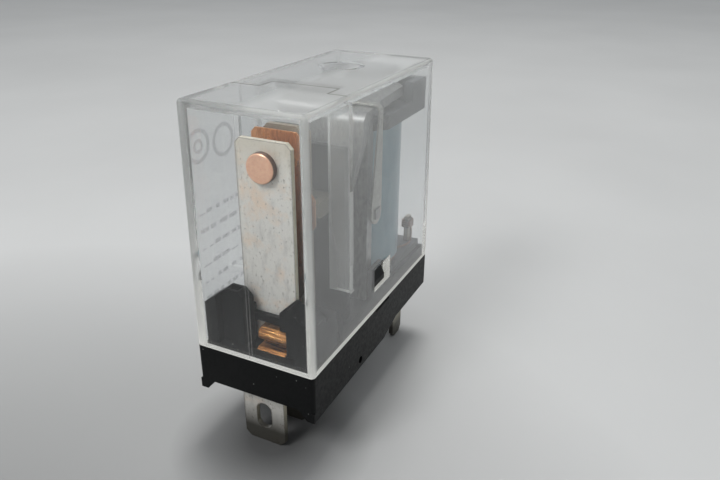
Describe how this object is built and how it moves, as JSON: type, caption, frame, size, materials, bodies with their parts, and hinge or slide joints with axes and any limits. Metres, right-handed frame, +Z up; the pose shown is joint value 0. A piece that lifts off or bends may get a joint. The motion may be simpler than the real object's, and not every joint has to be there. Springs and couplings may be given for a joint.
{
  "type": "plug in relay",
  "caption": "Slim plug-in relay: clear case over a black base, changeover contacts on leaf spring, hinged armature over a vertical coil, blade terminals.",
  "frame": {"origin": "level with the blade tips, under the middle of the case's footprint", "axes": "+Z up from the blade tips to the case's roof, +X along the length from the contact end to the coil end, Y across the width, mirrored about the middle plane"},
  "size_m": [0.029, 0.013, 0.0347],
  "materials": {
    "clear_polycarbonate": "clear moulded plastic, glossy",
    "black_plastic": "fine moulded satin",
    "tin_plate": "matte tin plate, lightly mottled",
    "bare_copper": "bare soft copper, bright folds",
    "contact_copper": "satin copper",
    "silver_alloy": "polished silver alloy",
    "spring_copper": "rolled copper alloy",
    "card_plastic": "moulded satin",
    "plated_iron": "dull zinc plate",
    "spring_steel": "bright rolled spring steel",
    "bobbin_plastic": "moulded satin",
    "enamelled_wire": "enamelled copper wire",
    "blue_tape": "polyester film tape"
  },
  "bodies": {
    "housing": {"case": "clear_polycarbonate", "base": "black_plastic", "front_contact_plate": "tin_plate", "front_blade": "tin_plate", "front_link": "bare_copper", "front_contact": "contact_copper", "front_contact_tip": "silver_alloy", "common_terminal": "tin_plate", "rear_contact_terminal": "tin_plate", "rear_contact": "contact_copper", "rear_contact_tip": "silver_alloy", "hinge_spring": "spring_steel", "yoke": "plated_iron", "core": "plated_iron", "bobbin": "bobbin_plastic", "winding": "enamelled_wire", "coil_tape": "blue_tape", "coil_terminal_left": "tin_plate", "coil_terminal_right": "tin_plate", "coil_lead_left": "enamelled_wire", "coil_lead_right": "enamelled_wire"},
    "armature": {"armature": "plated_iron"},
    "card": {"pusher_card": "card_plastic"},
    "moving_arm": {"moving_spring": "spring_copper", "moving_contact": "contact_copper", "moving_contact_tips": "silver_alloy"}
  },
  "joints": [
    {"name": "armature_hinge", "type": "hinge", "parent": "housing", "child": "armature", "pos_m": [-0.0004, 0, 0.03075], "axis": [0, 1, 0], "range_deg": [0, 4], "stiffness_Nm_per_rad": 0.02, "springref_deg": -5.73},
    {"name": "card_slide", "type": "slide", "parent": "housing", "child": "card", "axis": [-1, 0, 0], "range_m": [0, 0.00047]},
    {"name": "moving_arm_hinge", "type": "hinge", "parent": "housing", "child": "moving_arm", "pos_m": [-0.0085, 0, 0.0141], "axis": [0, -1, 0], "range_deg": [0, 2.17]}
  ],
  "couplings": [
    {"joint": "card_slide", "follows": "armature_hinge", "m_per_rad": 0.006694},
    {"joint": "moving_arm_hinge", "follows": "armature_hinge", "ratio": 0.53973}
  ]
}
